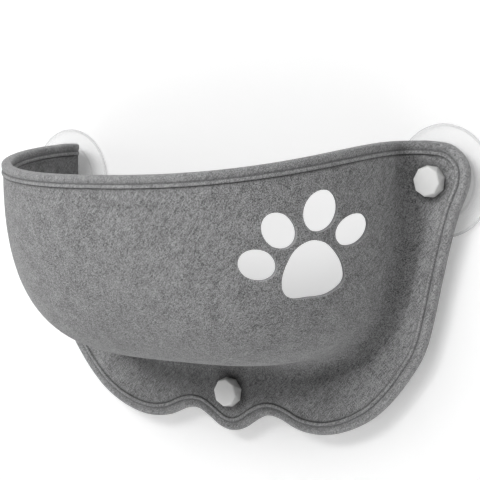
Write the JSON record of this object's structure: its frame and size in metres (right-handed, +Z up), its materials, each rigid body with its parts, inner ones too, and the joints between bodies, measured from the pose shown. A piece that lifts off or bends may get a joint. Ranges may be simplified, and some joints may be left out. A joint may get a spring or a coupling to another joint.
{
  "type": "window mounted cat perch",
  "caption": "Moulded felt cat bed with a bowl and flange in one sheet, bound at the edge and clamped to window suction cups by screwed knobs, with a paw print cut-out.",
  "frame": {"origin": "centre of the lower suction cup's lip, on the glass, in the perch's plane of symmetry", "axes": "+X across the window to the right as seen from the room, +Y into the glass, +Z up"},
  "size_m": [0.538, 0.1981, 0.2836],
  "materials": {
    "outer_felt": "heathered grey felt",
    "foam": "moulded foam",
    "inner_felt": "heathered grey felt",
    "binding": "sewn felt binding",
    "clear_vinyl": "clear and glossy",
    "stud_steel": "zinc plated thread",
    "knob_plastic": "satin white",
    "insert_brass": "turned",
    "washer_steel": "stamped"
  },
  "bodies": {
    "shell": {"outer_felt": "outer_felt", "foam_core": "foam", "inner_felt": "inner_felt", "edge_binding": "binding", "suction_cup_left": "clear_vinyl", "suction_cup_right": "clear_vinyl", "suction_cup_lower": "clear_vinyl", "cup_stud_left": "stud_steel", "cup_stud_right": "stud_steel", "cup_stud_lower": "stud_steel"},
    "washer_left": {"knob_washer_left": "washer_steel"},
    "washer_right": {"knob_washer_right": "washer_steel"},
    "washer_lower": {"knob_washer_lower": "washer_steel"},
    "knob_left": {"knob_left": "knob_plastic", "knob_insert_left": "insert_brass"},
    "knob_right": {"knob_right": "knob_plastic", "knob_insert_right": "insert_brass"},
    "knob_lower": {"knob_lower": "knob_plastic", "knob_insert_lower": "insert_brass"}
  },
  "joints": [
    {"name": "knob_left_travel", "type": "slide", "parent": "shell", "child": "washer_left", "axis": [0, -1, 0], "range_m": [0, 0.005]},
    {"name": "knob_left_turn", "type": "hinge", "parent": "washer_left", "child": "knob_left", "pos_m": [-0.22, -0.02, 0.198], "axis": [0, -1, 0], "range_deg": [0, 1800]},
    {"name": "knob_right_travel", "type": "slide", "parent": "shell", "child": "washer_right", "axis": [0, -1, 0], "range_m": [0, 0.005]},
    {"name": "knob_right_turn", "type": "hinge", "parent": "washer_right", "child": "knob_right", "pos_m": [0.22, -0.02, 0.198], "axis": [0, -1, 0], "range_deg": [0, 1800]},
    {"name": "knob_lower_travel", "type": "slide", "parent": "shell", "child": "washer_lower", "axis": [0, -1, 0], "range_m": [0, 0.005]},
    {"name": "knob_lower_turn", "type": "hinge", "parent": "washer_lower", "child": "knob_lower", "pos_m": [0, -0.02, 0], "axis": [0, -1, 0], "range_deg": [0, 1800]}
  ],
  "couplings": [
    {"joint": "knob_left_travel", "follows": "knob_left_turn", "m_per_rad": 0.00015915},
    {"joint": "knob_right_travel", "follows": "knob_right_turn", "m_per_rad": 0.00015915},
    {"joint": "knob_lower_travel", "follows": "knob_lower_turn", "m_per_rad": 0.00015915}
  ]
}
